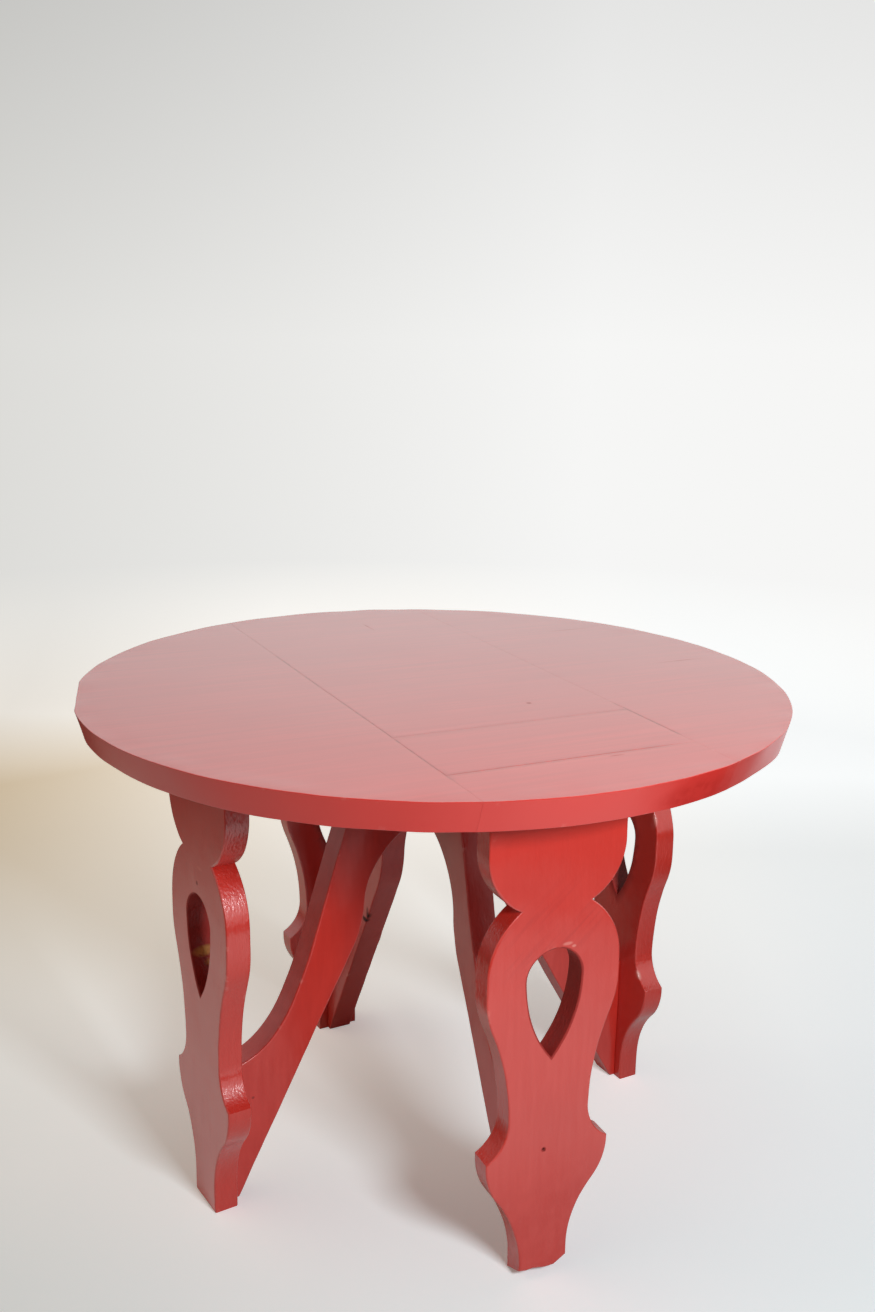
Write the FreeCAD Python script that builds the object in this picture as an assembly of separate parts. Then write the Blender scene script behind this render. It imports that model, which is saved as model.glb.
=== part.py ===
import FreeCAD, Part
import math
import os

# Round table: a disc of edge-jointed boards on four legs sawn from board. Behind each leg a
# curved brace runs inward and up to a hub post under the middle of the top, and a cleat ties
# the head of the leg to the top. Sizes are in millimetres, angles in degrees. Z is up, and the
# origin is on the floor under the middle of the top. The front leg stands towards -Y, and the
# long seams of the top run along Y.

Vector = FreeCAD.Vector
UP = Vector(0, 0, 1)
AXIS_POINT = Vector(0, 0, 0)
FULL_TURN = 360.0
DRAWN_AZIMUTH = -90.0

# Overall height, which sets how long the swelling stretch of the legs is
table_height = 750.0

# Table top
top_diameter = 1050.0
top_thickness = 43.0
rim_undercut = 17.0
rim_arris = 3.0
left_seam = 168.0
right_seam = 192.0
front_board_depth = 127.0
strip_width = 162.0

# Dowels in the edge joints of the top
dowel_diameter = 8.0
dowel_length = 60.0
dowel_pitch = 100.0
long_seam_pitch = 200.0
dowels_each_cross_seam = 3
dowels_each_long_seam = 3

# Battens under the top
batten_length = 680.0
batten_width = 70.0
batten_height = 35.0
batten_offset = 205.0
batten_screw_near = 60.0
batten_screw_far = 280.0

# Where the legs stand: azimuth, and reach from the table's axis to the outer face
front_leg_azimuth = -90.2
front_leg_reach = 392.0
left_leg_azimuth = 187.2
left_leg_reach = 385.0
right_leg_azimuth = 3.5
right_leg_reach = 400.0
back_leg_azimuth = 92.7
back_leg_reach = 391.0

# Outline of a leg board, from the floor up: half widths, and the height of each stretch
leg_board_thickness = 36.0
foot_half_width = 36.0
hip_half_width = 93.0
waist_half_width = 61.0
belly_half_width = 99.0
neck_half_width = 52.0
head_half_width = 101.0
foot_rise = 40.0
flare_rise = 148.0
hip_rise = 6.0
waist_rise = 54.0
belly_rise = 23.0
shoulder_rise = 88.5
chin_rise = 78.5
head_rise = 79.0
flare_share = 0.62
swell_share = 0.71

# Teardrop piercing of a leg board
teardrop_half_width = 41.0
teardrop_tail = 115.0
teardrop_above_swell = 10.0

# Brace behind each leg
brace_thickness = 42.0
brace_lift = 15.0
brace_toe = 16.0
brace_arch_radius = 128.0
brace_arch_drop = 290.0
brace_knee_angle = 9.0
brace_knee_radius = 160.0
brace_shoulder_height = 218.0
brace_shoulder_pull = 93.0
brace_bend_reach = 193.0
front_brace_bend_reach = 182.0
brace_bend_drop = 257.0
brace_bend_pull = 95.0
brace_head_reach = 110.0

# Hub post that the braces are tenoned into
hub_width = 80.0
hub_drop = 14.0
hub_chamfer = 6.0
tenon_thickness = 14.0
tenon_depth = 24.0
tenon_shoulder = 30.0

# Cleats behind the heads of the legs
cleat_length = 140.0
cleat_depth = 40.0
cleat_height = 40.0
cleat_chamfer = 8.0
cleat_top_screw_half_spacing = 30.0
cleat_leg_screw_half_spacing = 52.0

# Wood screws
screw_head_diameter = 9.0
screw_shank_diameter = 4.5
screw_point = 6.0
screw_sink = 1.5
screw_bite = 20.0
leg_screw_bite = 45.0
low_leg_screw_height = 90.0
high_leg_screw_height = 192.0

# Fits
joint_clearance = 0.3

# Sizes that follow from the ones above
top_radius = top_diameter / 2
front_seam = top_radius - front_board_depth
strip_seam = front_seam - strip_width
underside = table_height - top_thickness
hip_height = foot_rise + flare_rise
waist_height = hip_height + hip_rise + waist_rise
neck_height = underside - head_rise - chin_rise
swell_height = neck_height - shoulder_rise - belly_rise
brace_arch_height = underside - brace_arch_drop
brace_bend_height = underside - brace_bend_drop
leg_places = {
    "front": (front_leg_azimuth, front_leg_reach, front_brace_bend_reach),
    "left": (left_leg_azimuth, left_leg_reach, brace_bend_reach),
    "right": (right_leg_azimuth, right_leg_reach, brace_bend_reach),
    "back": (back_leg_azimuth, back_leg_reach, brace_bend_reach),
}
hub_half_width = hub_width / 2
brace_half_thickness = brace_thickness / 2


def front_plane(across, height):
    """Point of a leg board's outline, drawn for the front leg."""
    return Vector(across, 0, height)


def mirrored_front_plane(across, height):
    """The same point on the other half of the leg board."""
    return Vector(-across, 0, height)


def radial_plane(reach, height):
    """Point of a brace's outline, drawn for the front leg."""
    return Vector(0, -reach, height)


def line(place, start, end):
    """Straight edge between two points of a plane."""
    return Part.makeLine(place(*start), place(*end))


def upright_arc(place, upright_end, other_end):
    """Arc that is upright at its first point and runs to the other."""
    across = other_end[0] - upright_end[0]
    rise = other_end[1] - upright_end[1]
    radius = (across ** 2 + rise ** 2) / (2 * across)
    centre = (upright_end[0] + radius, upright_end[1])
    half_turn = math.atan2(abs(rise), abs(radius) - abs(across)) / 2
    middle = (
        centre[0] - radius * math.cos(half_turn),
        centre[1] + math.copysign(abs(radius) * math.sin(half_turn), rise),
    )
    return Part.Arc(place(*upright_end), place(*middle), place(*other_end)).toShape()


def ogee(place, start, end, share):
    """Two arcs, upright at both ends, that meet on the chord at the given share of it."""
    meeting = (
        start[0] + share * (end[0] - start[0]),
        start[1] + share * (end[1] - start[1]),
    )
    return [upright_arc(place, start, meeting), upright_arc(place, end, meeting)]


def solid_from(edges, depth):
    """Solid swept from a closed outline."""
    wire = Part.Wire(Part.__sortEdges__(edges))
    return Part.Face(wire).extrude(depth)


def box_between(low, high):
    """Box from its lowest to its highest corner."""
    size = high - low
    return Part.makeBox(size.x, size.y, size.z, low)


def turned(shape, azimuth):
    """Copy of a shape drawn towards -Y, turned to a leg's azimuth."""
    copy = shape.copy()
    copy.rotate(AXIS_POINT, UP, azimuth - DRAWN_AZIMUTH)
    return copy


def aimed(shape, point, direction):
    """Copy of a shape made along +Z at the origin, moved to a point and aimed."""
    copy = shape.copy()
    copy.Placement = FreeCAD.Placement(point, FreeCAD.Rotation(UP, direction))
    return copy


def screw(length, extra=0.0):
    """Countersunk screw along +Z with its head at the origin, or the same grown by extra."""
    head_radius = screw_head_diameter / 2 + extra
    shank_radius = screw_shank_diameter / 2 + extra
    corners = [
        Vector(0, 0, 0),
        Vector(head_radius, 0, 0),
        Vector(shank_radius, 0, head_radius - shank_radius),
        Vector(shank_radius, 0, length - screw_point),
        Vector(0, 0, length + extra),
    ]
    face = Part.Face(Part.makePolygon(corners + corners[:1]))
    return face.revolve(AXIS_POINT, UP, FULL_TURN)


def screw_hole(length):
    """Hole for a screw, with the mouth that its head is sunk through."""
    head_radius = screw_head_diameter / 2 + joint_clearance
    mouth = Part.makeCylinder(head_radius, screw_sink, Vector(0, 0, -screw_sink))
    return screw(length, joint_clearance).fuse(mouth).removeSplitter()


def drive(screws, holes, length, face_point, direction):
    """Add a screw driven from a face, sunk below it, and the hole that it sits in."""
    head_point = face_point + direction * screw_sink
    screws.append(aimed(screw(length), head_point, direction))
    holes.append(aimed(screw_hole(length), head_point, direction))


def dowel(point, direction, extra=0.0):
    """Dowel centred on a point; extra makes the hole for it."""
    reach = dowel_length / 2 + extra
    return Part.makeCylinder(dowel_diameter / 2 + extra, 2 * reach, point - direction * reach, direction)


def top_disc():
    """The whole top as one disc: its rim is undercut, with both arrises taken off."""
    low_radius = top_radius - rim_undercut
    profile = [
        Vector(0, 0, underside),
        Vector(low_radius - rim_arris, 0, underside),
        Vector(low_radius, 0, underside + rim_arris),
        Vector(top_radius, 0, table_height - rim_arris),
        Vector(top_radius - rim_arris, 0, table_height),
        Vector(0, 0, table_height),
    ]
    face = Part.Face(Part.makePolygon(profile + profile[:1]))
    return face.revolve(AXIS_POINT, UP, FULL_TURN)


def top_boards():
    """The boards of the top, cut from the disc along the seams."""
    disc = top_disc()
    spans = {
        "top_left_board": (-top_diameter, -left_seam, -top_diameter, top_diameter),
        "top_right_board": (right_seam, top_diameter, -top_diameter, top_diameter),
        "top_centre_board": (-left_seam, right_seam, -strip_seam, top_diameter),
        "top_front_strip": (-left_seam, right_seam, -front_seam, -strip_seam),
        "top_front_board": (-left_seam, right_seam, -top_diameter, -front_seam),
    }
    boards = {}
    for name, (low_x, high_x, low_y, high_y) in spans.items():
        span = box_between(Vector(low_x, low_y, 0), Vector(high_x, high_y, 2 * table_height))
        boards[name] = disc.common(span)
    return boards


def seam_dowels(extra=0.0):
    """The dowels across the seams of the top, or their holes."""
    height = underside + top_thickness / 2
    dowels = []
    middle_x = (right_seam - left_seam) / 2
    for seam in (front_seam, strip_seam):
        for place in range(dowels_each_cross_seam):
            step = place - (dowels_each_cross_seam - 1) / 2
            dowels.append(dowel(Vector(middle_x + step * dowel_pitch, -seam, height), Vector(0, 1, 0), extra))
    for seam in (-left_seam, right_seam):
        dowels.append(dowel(Vector(seam, -(front_seam + strip_seam) / 2, height), Vector(1, 0, 0), extra))
        for place in range(dowels_each_long_seam):
            along = dowel_pitch - strip_seam + place * long_seam_pitch
            dowels.append(dowel(Vector(seam, along, height), Vector(1, 0, 0), extra))
    return dowels


def batten(side, screws, holes):
    """Batten under the top, on the front side (-1) or the back side (1), with its screws."""
    middle_y = side * batten_offset
    low = Vector(-batten_length / 2, middle_y - batten_width / 2, underside - batten_height)
    high = Vector(batten_length / 2, middle_y + batten_width / 2, underside)
    for x in (-batten_screw_far, -batten_screw_near, batten_screw_near, batten_screw_far):
        drive(screws, holes, batten_height + screw_bite, Vector(x, middle_y, low.z), UP)
    return box_between(low, high)


def leg_side(place):
    """Edges of one half of a leg board's outline, from the floor up to the top."""
    foot = (foot_half_width, foot_rise)
    hip = (hip_half_width, hip_height)
    hip_corner = (hip_half_width, hip_height + hip_rise)
    waist = (waist_half_width, waist_height)
    swell = (belly_half_width, swell_height)
    belly = (belly_half_width, swell_height + belly_rise)
    neck = (neck_half_width, neck_height)
    cheek = (head_half_width, neck_height + chin_rise)
    edges = [line(place, (foot_half_width, 0), foot)]
    edges += ogee(place, foot, hip, flare_share)
    edges += [line(place, hip, hip_corner), upright_arc(place, waist, hip_corner)]
    edges += ogee(place, waist, swell, swell_share)
    edges += [line(place, swell, belly), upright_arc(place, belly, neck)]
    edges += [upright_arc(place, cheek, neck), line(place, cheek, (head_half_width, underside))]
    return edges


def teardrop_edges():
    """Edges of the teardrop piercing: a round top and two sides that meet in a point."""
    height = swell_height + teardrop_above_swell
    side = (teardrop_half_width, height)
    tip = (0, height - teardrop_tail)
    crown = front_plane(0, height + teardrop_half_width)
    top = Part.Arc(mirrored_front_plane(*side), crown, front_plane(*side)).toShape()
    return [top, upright_arc(front_plane, side, tip), upright_arc(mirrored_front_plane, side, tip)]


def leg_board(reach):
    """Leg board for the front leg, with its outer face at the given reach."""
    edges = leg_side(front_plane) + leg_side(mirrored_front_plane)
    edges.append(line(front_plane, (-foot_half_width, 0), (foot_half_width, 0)))
    edges.append(line(front_plane, (-head_half_width, underside), (head_half_width, underside)))
    depth = Vector(0, leg_board_thickness, 0)
    board = solid_from(edges, depth).cut(solid_from(teardrop_edges(), depth))
    board.translate(Vector(0, -reach, 0))
    return board


def three_point_arc(start, middle, end):
    """Arc of a brace's outline through three points."""
    return Part.Arc(radial_plane(*start), radial_plane(*middle), radial_plane(*end)).toShape()


def arch_point(turn):
    """Point of the round arch under the middle of the table, at an angle above the level."""
    return (
        brace_arch_radius * math.cos(turn),
        brace_arch_height + brace_arch_radius * math.sin(turn),
    )


def brace_lower_edge(toe, end_reach):
    """Lower edge of a brace: straight from the toe, round the knee, and along the arch."""
    knee = arch_point(-math.radians(brace_knee_angle))
    run = math.hypot(knee[0] - toe[0], knee[1] - toe[1])
    along = ((knee[0] - toe[0]) / run, (knee[1] - toe[1]) / run)
    normal = (along[1], -along[0])

    # The knee arc touches the straight run and the outside of the arch
    offset = normal[0] * toe[0] + normal[1] * (toe[1] - brace_arch_height) + brace_knee_radius
    span = brace_arch_radius + brace_knee_radius
    back = math.sqrt(span ** 2 - offset ** 2)
    centre = (
        offset * normal[0] - back * along[0],
        brace_arch_height + offset * normal[1] - back * along[1],
    )
    leaving_turn = math.atan2(centre[1] - brace_arch_height, centre[0])
    start_turn = math.pi + math.atan2(normal[1], normal[0])
    middle_turn = (start_turn + math.pi + leaving_turn) / 2
    start = (
        centre[0] + brace_knee_radius * math.cos(start_turn),
        centre[1] + brace_knee_radius * math.sin(start_turn),
    )
    middle = (
        centre[0] + brace_knee_radius * math.cos(middle_turn),
        centre[1] + brace_knee_radius * math.sin(middle_turn),
    )
    end_turn = math.acos(end_reach / brace_arch_radius)
    arch_middle = arch_point((leaving_turn + end_turn) / 2)
    return [
        line(radial_plane, toe, start),
        three_point_arc(start, middle, arch_point(leaving_turn)),
        three_point_arc(arch_point(leaving_turn), arch_middle, arch_point(end_turn)),
        line(radial_plane, arch_point(end_turn), (end_reach, underside)),
    ]


def brace_upper_edge(shoulder, bend_reach):
    """Upper edge of a brace: straight down from the top, then sweeping out to the leg board."""
    head = (brace_head_reach, underside)
    bend = (bend_reach, brace_bend_height)
    lean = math.hypot(head[0] - bend[0], head[1] - bend[1])
    bend_handle = (
        bend[0] - brace_bend_pull * (head[0] - bend[0]) / lean,
        bend[1] - brace_bend_pull * (head[1] - bend[1]) / lean,
    )
    shoulder_handle = (shoulder[0] - brace_shoulder_pull, shoulder[1])
    sweep = Part.BezierCurve()
    sweep.setPoles([radial_plane(*pole) for pole in (shoulder, shoulder_handle, bend_handle, bend)])
    return [line(radial_plane, head, bend), sweep.toShape()]


def brace_outline(back_reach, bend_reach):
    """Edges of a brace's outline, from the back of its leg board to inside the hub post."""
    heel = (back_reach, brace_lift)
    toe = (back_reach - brace_toe, brace_lift)
    shoulder = (back_reach, brace_shoulder_height)
    end_reach = hub_half_width - tenon_depth
    edges = [line(radial_plane, heel, toe)]
    edges += brace_lower_edge(toe, end_reach)
    edges.append(line(radial_plane, (end_reach, underside), (brace_head_reach, underside)))
    edges += brace_upper_edge(shoulder, bend_reach)
    edges.append(line(radial_plane, shoulder, heel))
    return edges


def arch_height_at_hub():
    """Height at which the arch of the braces meets the faces of the hub post."""
    return arch_point(math.acos(hub_half_width / brace_arch_radius))[1]


def hub_block():
    """The hub post before its mortises are cut."""
    bottom = arch_height_at_hub() - hub_drop
    low = Vector(-hub_half_width, -hub_half_width, bottom)
    block = box_between(low, Vector(hub_half_width, hub_half_width, underside))
    bottom_edges = [edge for edge in block.Edges if edge.BoundBox.ZMax < bottom + hub_chamfer]
    return block.makeChamfer(hub_chamfer, bottom_edges)


def tenon(extra=0.0):
    """Tenon of the front brace; extra makes its mortise."""
    half = tenon_thickness / 2 + extra
    tip = hub_half_width - tenon_depth - extra
    low = arch_height_at_hub() + tenon_shoulder - extra
    high = underside - tenon_shoulder + extra
    root = hub_half_width + tenon_depth
    return box_between(Vector(-half, -root, low), Vector(half, -tip, high))


def brace(back_reach, bend_reach, azimuth, hub):
    """Brace turned to its leg, shouldered against the hub post, with its tenon."""
    board = solid_from(brace_outline(back_reach, bend_reach), Vector(brace_thickness, 0, 0))
    board.translate(Vector(-brace_half_thickness, 0, 0))
    shouldered = turned(board, azimuth).cut(hub)
    return shouldered.fuse(turned(tenon(), azimuth)).removeSplitter()


def cleat(back_reach):
    """Cleat behind the head of the front leg, with its lower inner edge chamfered."""
    low = Vector(-cleat_length / 2, -back_reach, underside - cleat_height)
    high = Vector(cleat_length / 2, -back_reach + cleat_depth, underside)
    block = box_between(low, high)
    corner = Vector(0, high.y, low.z)
    inner_edges = [edge for edge in block.Edges if edge.distToShape(Part.Vertex(corner))[0] < joint_clearance]
    return block.makeChamfer(cleat_chamfer, inner_edges)


def cleat_screws(back_reach):
    """Screws of the front cleat and their holes: into the top, and into the leg board."""
    top_screws, leg_screws, holes = [], [], []
    middle_y = -back_reach + cleat_depth / 2
    middle_z = underside - cleat_height / 2
    for side in (-1, 1):
        below = Vector(side * cleat_top_screw_half_spacing, middle_y, underside - cleat_height)
        drive(top_screws, holes, cleat_height + screw_bite, below, UP)
        behind = Vector(side * cleat_leg_screw_half_spacing, -back_reach + cleat_depth, middle_z)
        drive(leg_screws, holes, cleat_depth + screw_bite, behind, Vector(0, -1, 0))
    return top_screws, leg_screws, holes


def build():
    """Every piece of the table, by the name of its node."""
    pieces = top_boards()
    groups = {"top_dowels": seam_dowels(), "batten_screws": [], "cleat_top_screws": []}
    groups.update({"cleat_leg_screws": [], "leg_face_screws": []})
    holes = seam_dowels(joint_clearance)
    for name, side in (("front_batten", -1), ("back_batten", 1)):
        pieces[name] = batten(side, groups["batten_screws"], holes)

    hub = hub_block()
    mortises = []
    for name, (azimuth, reach, bend_reach) in leg_places.items():
        back_reach = reach - leg_board_thickness
        pieces[name + "_leg_board"] = turned(leg_board(reach), azimuth)
        pieces[name + "_brace"] = brace(back_reach, bend_reach, azimuth, hub)
        pieces[name + "_cleat"] = turned(cleat(back_reach), azimuth)
        mortises.append(turned(tenon(joint_clearance), azimuth))
        top_screws, leg_screws, cleat_holes = cleat_screws(back_reach)
        face_screws, face_holes = [], []
        for height in (low_leg_screw_height, high_leg_screw_height):
            length = leg_board_thickness + leg_screw_bite
            drive(face_screws, face_holes, length, Vector(0, -reach, height), Vector(0, 1, 0))
        groups["cleat_top_screws"] += [turned(item, azimuth) for item in top_screws]
        groups["cleat_leg_screws"] += [turned(item, azimuth) for item in leg_screws]
        groups["leg_face_screws"] += [turned(item, azimuth) for item in face_screws]
        holes += [turned(item, azimuth) for item in cleat_holes + face_holes]
    pieces["hub_post"] = hub.cut(mortises)

    for name, piece in pieces.items():
        reaching = [hole for hole in holes if hole.BoundBox.intersect(piece.BoundBox)]
        pieces[name] = piece.cut(reaching) if reaching else piece
    for name, solids in groups.items():
        pieces[name] = Part.makeCompound(solids)
    return pieces


os.makedirs("parts", exist_ok=True)
for node, shape in build().items():
    shape.exportStep(f"parts/{node}.step")
    print(node, len(shape.Solids), "solids", shape.isValid(), round(shape.Volume / 1000, 1), "cm3")
print("table height", table_height, "front seam", front_seam, "strip seam", strip_seam)
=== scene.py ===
from functools import partial
from math import acos, atan2, ceil, cos, degrees, dist, hypot, pi, radians, sin, sqrt

import bpy
import numpy as np
from mathutils import Matrix, Vector, noise
from mathutils.geometry import delaunay_2d_cdt


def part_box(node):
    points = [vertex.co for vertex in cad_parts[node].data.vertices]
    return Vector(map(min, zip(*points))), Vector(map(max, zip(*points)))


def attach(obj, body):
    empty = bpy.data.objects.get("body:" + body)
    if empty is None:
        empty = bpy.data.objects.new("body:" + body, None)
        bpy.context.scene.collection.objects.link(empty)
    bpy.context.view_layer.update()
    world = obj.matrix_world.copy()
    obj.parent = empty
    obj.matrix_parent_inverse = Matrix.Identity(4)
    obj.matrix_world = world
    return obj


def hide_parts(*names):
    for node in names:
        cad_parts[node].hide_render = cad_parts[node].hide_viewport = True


# The looks of a hand-made round table under red gloss paint. The boards of the top, the pierced
# legs, the curved braces and the post where they meet are meshes made from the same sizes as their
# solids, with eased arrises, uneven faces, cracked seams and a broken foot. The other pieces keep
# their solids. Sizes are in millimetres and become metres where a mesh is made. The camera and the
# studio are in metres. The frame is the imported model's: Z up, the front leg towards -Y.

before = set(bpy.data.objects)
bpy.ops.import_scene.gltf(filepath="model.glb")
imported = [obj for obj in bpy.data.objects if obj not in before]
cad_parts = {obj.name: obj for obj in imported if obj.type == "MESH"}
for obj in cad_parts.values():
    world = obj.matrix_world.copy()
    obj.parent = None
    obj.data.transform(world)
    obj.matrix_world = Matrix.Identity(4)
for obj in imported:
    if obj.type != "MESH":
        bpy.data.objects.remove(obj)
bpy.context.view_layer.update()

MM = 0.001
UP = Vector((0, 0, 1))
scene = bpy.context.scene

# The unevenness of the faces comes from this seed, so that each run gives the same table
noise.seed_set(5)

# Sizes read from the frame
left_board_low, left_board_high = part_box("top_left_board")
table_height = left_board_high.z / MM
underside = left_board_low.z / MM
top_radius = -left_board_low.x / MM
top_thickness = table_height - underside
left_seam = left_board_high.x / MM
right_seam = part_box("top_right_board")[0].x / MM
strip_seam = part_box("top_centre_board")[0].y / MM
front_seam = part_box("top_front_strip")[0].y / MM

# Rim of the top: what lies within rim_band of the full radius belongs to it
rim_undercut = 17.0
rim_ease = 0.9
flat_azimuth = 167.0
flat_depth = 5.4
rim_band = 1.2 * flat_depth
# Where the rim stands steeper: azimuth and half its width in degrees, and the loss of undercut,
# which is full in the core of that width
steep_rims = ((170.0, 26.0, 5.0), (-42.0, 20.0, 6.0))
steep_core = 0.2

# Seams of the top, open from 0 where paint fills them to 1. Of a long seam: its crack along Y, how
# far it tapers beyond its back and front ends, how open it is there, and how open the seam is
# behind the crack's front end and before it
left_opening = ((front_seam, 200.0), (60.0, 25.0), 0.65, (0.3, 0.09))
right_opening = ((-353.0, -227.0), (25.0, 20.0), 0.8, (0.15, 0.0))
front_opening = 0.55
strip_opening = 0.3
# How far from the rim a long seam, and from the right seam the front seam, begins and is full
rim_taper = (8.0, 45.0)
front_taper = (5.0, 70.0)
on_seam = 1.0

# How the faces bend beside the seams, and their darker paint: grime, and painted shade at cross seams
seam_least_ease = 0.12
seam_open_ease = 0.32
strip_curl = 0.15
seam_sink = 0.12
seam_grime_and_shade = 0.65
long_seam_spread = 2.6
cross_seam_spread = 9.0
top_shoulders = (1.0, 2.5, 5.0, 9.0)
rim_corner_room = 16.0
seam_corner_room = 28.0

# Waves in the hand-worked faces: their size and depth
top_waves = (170.0, 0.35)
rim_waves = (60.0, 0.9)
rim_waves_reach = (40.0, 15.0)
broad_waves = (90.0, 0.6)
fine_waves = (30.0, 0.3)
steady_foot = 30.0

# Legs: azimuth in degrees, reach to the outer face, and how far out the bend of its brace is
leg_places = {
    "front": (-90.2, 392.0, 182.0),
    "left": (187.2, 385.0, 193.0),
    "right": (3.5, 400.0, 193.0),
    "back": (92.7, 391.0, 193.0),
}

# Outline of a leg board: half widths, and heights from the floor
leg_board_thickness = 36.0
foot_half_width = 36.0
hip_half_width = 93.0
waist_half_width = 61.0
belly_half_width = 99.0
neck_half_width = 52.0
head_half_width = 101.0
foot_height = 40.0
hip_height = 188.0
hip_corner_height = 194.0
waist_height = 248.0
cheek_height = underside - 79.0
neck_height = cheek_height - 78.5
belly_height = neck_height - 88.5
swell_height = belly_height - 23.0
flare_share = 0.62
swell_share = 0.71

# Teardrop piercing of a leg board
teardrop_half_width = 41.0
teardrop_tail = 115.0
teardrop_height = swell_height + 10.0
# Painted shade on the walls of the piercing: how far they take the darker, duller paint
teardrop_shade = 0.9

# The front leg's own foot: its left side is sawn fuller, and its lower edge is broken off at the
# face. wear_top is how far up the break slants back to the floor
front_foot_height = 10.0
front_flare_share = 0.7
front_foot_worn = (
    (-37.0, 15.0), (-26.0, 13.0), (-15.0, 14.0), (4.0, 10.0), (17.0, 10.0), (26.0, 15.5), (36.0, 22.0),
)
wear_top = 40.0
screw_hole_place = (-6.0, 196.5)
screw_hole_radius = 1.2
screw_hole_sides = 12
screw_hole_ease = 0.4

# Ease of the arrises of legs and braces, how much it changes and over what length
leg_ease = 2.2
leg_ease_change = 0.8
leg_ease_run = 40.0

# Brace behind each leg
brace_thickness = 42.0
brace_lift = 2.0
brace_toe = 9.0
brace_arch_radius = 128.0
brace_arch_height = underside - 290.0
brace_knee_angle = 9.0
brace_knee_radius = 160.0
brace_shoulder_height = 218.0
brace_shoulder_pull = 93.0
brace_bend_height = underside - 257.0
brace_bend_pull = 95.0
brace_head_reach = 110.0
brace_end_reach = 36.0

# Hub post: the ease of its arrises, and how much of its lower end is taken off
hub_ease = 3.0
hub_trim = 4.0

# Ease of the arrises of the pieces that keep their solids
under_ease = 1.0

# How finely the meshes are cut: lengths in millimetres, angles in degrees
outline_step = 4.0
same_point = 0.001
touching = 1e-5
least_run = 0.2
face_step = 11.0
face_row_share = 0.87
face_clear_share = 0.62
arris_steps = 4
wall_steps = 6
corner_room = 7.0
sharp_corner = 20.0
sharp_edge = 50.0
straight_turn = 0.12
shoulder_mark = 0.25

# Camera: where the photograph was taken from. view_azimuth turns the studio in the frame. In the
# studio the camera looks along +Y, but for its yaw, pitch and roll in degrees
view_azimuth = -25.2
camera_place = (0.0, -1.9589, 1.275)
camera_angles = (0.18, 13.91, 1.03)
camera_sensor = 36.0
focal_pixels = 1347.34
picture_height = 1312

# Studio: reach of the flat floor and its rings, and the curve that takes it up to the backdrop
studio_reach = 2.6
studio_rings = (0.0, 0.8, 1.6)
studio_sweep = 1.0
studio_height = 4.6
sweep_steps = 16
studio_sides = 96

# The key lamp's place, target, width, height, power and colour
key_lamp = ((0.88, -1.67, 1.38), (0.0, 0.0, 0.6), 0.5, 0.33, 32.0, (0.93, 1.0, 1.04))


# Shared helpers


def fade(value, start, end):
    """Smooth step from 0 at the start to 1 at the end."""
    share = min(1.0, max(0.0, (value - start) / (end - start)))
    return share * share * (3 - 2 * share)


def uneven(point, size, depth):
    """Gentle offset of a point, by the size and depth of the waves."""
    return noise.noise_vector(point / (size * MM)) * (depth * MM)


def hand_worked(point):
    """Offset of a point of a leg, a brace or the hub from a straight cut."""
    return uneven(point, *broad_waves) + uneven(point, *fine_waves)


def outward(azimuth):
    """Unit vectors away from the table's axis and across, for a leg's azimuth."""
    turn = radians(azimuth)
    return Vector((cos(turn), sin(turn), 0)), Vector((-sin(turn), cos(turn), 0))


# Outlines


def round_point(centre, radius, turn):
    """Point of a circle, at an angle in radians."""
    return centre[0] + radius * cos(turn), centre[1] + radius * sin(turn)


def full_turn(count):
    """Angles in radians, even steps all the way round."""
    return [2 * pi * place / count for place in range(count)]


def part_way(start, end, share):
    """Point at a share of the way from one point to another."""
    return start[0] + share * (end[0] - start[0]), start[1] + share * (end[1] - start[1])


def dense(points):
    """Closed line through the points, with no run longer than the outline's step."""
    line = []
    for start, end in zip(points, points[1:] + points[:1]):
        run = dist(start, end)
        count = max(1, ceil(run / outline_step))
        if run > same_point:
            line += [part_way(start, end, place / count) for place in range(count)]
    return line


def arc(centre, radius, start_turn, end_turn):
    """Points along an arc, from one angle to another in radians."""
    count = max(3, ceil(abs(radius * (end_turn - start_turn)) / outline_step))
    turns = [start_turn + (end_turn - start_turn) * place / count for place in range(count + 1)]
    return [round_point(centre, radius, turn) for turn in turns]


def upright_arc(upright_end, other_end):
    """Arc that is upright at its first point and runs to the other."""
    across = other_end[0] - upright_end[0]
    rise = other_end[1] - upright_end[1]
    radius = (across ** 2 + rise ** 2) / (2 * across)
    centre = (upright_end[0] + radius, upright_end[1])
    turn = atan2(rise, abs(radius) - abs(across))
    if radius > 0:
        return arc(centre, radius, pi, pi - turn)
    return arc(centre, -radius, 0, turn)


def ogee(start, end, share):
    """Two arcs, upright at both ends, that meet on the chord at the given share of it."""
    meeting = part_way(start, end, share)
    return upright_arc(start, meeting) + upright_arc(end, meeting)[::-1]


def leg_side(flare_start, share):
    """One side of a leg board from the floor up. flare_start is where the foot begins to widen."""
    hip_corner = (hip_half_width, hip_corner_height)
    waist = (waist_half_width, waist_height)
    neck = (neck_half_width, neck_height)
    side = [(foot_half_width, 0.0)]
    side += ogee((foot_half_width, flare_start), (hip_half_width, hip_height), share)
    side += upright_arc(waist, hip_corner)[::-1]
    side += ogee(waist, (belly_half_width, swell_height), swell_share)
    side += upright_arc((belly_half_width, belly_height), neck)
    side += upright_arc((head_half_width, cheek_height), neck)[::-1]
    return side + [(head_half_width, underside)]


def mirrored(side):
    """The other side of an outline, run the other way."""
    return [(-across, height) for across, height in reversed(side)]


def leg_outline():
    """Outline of a leg board: across and height."""
    side = leg_side(foot_height, flare_share)
    return dense(side + mirrored(side))


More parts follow.
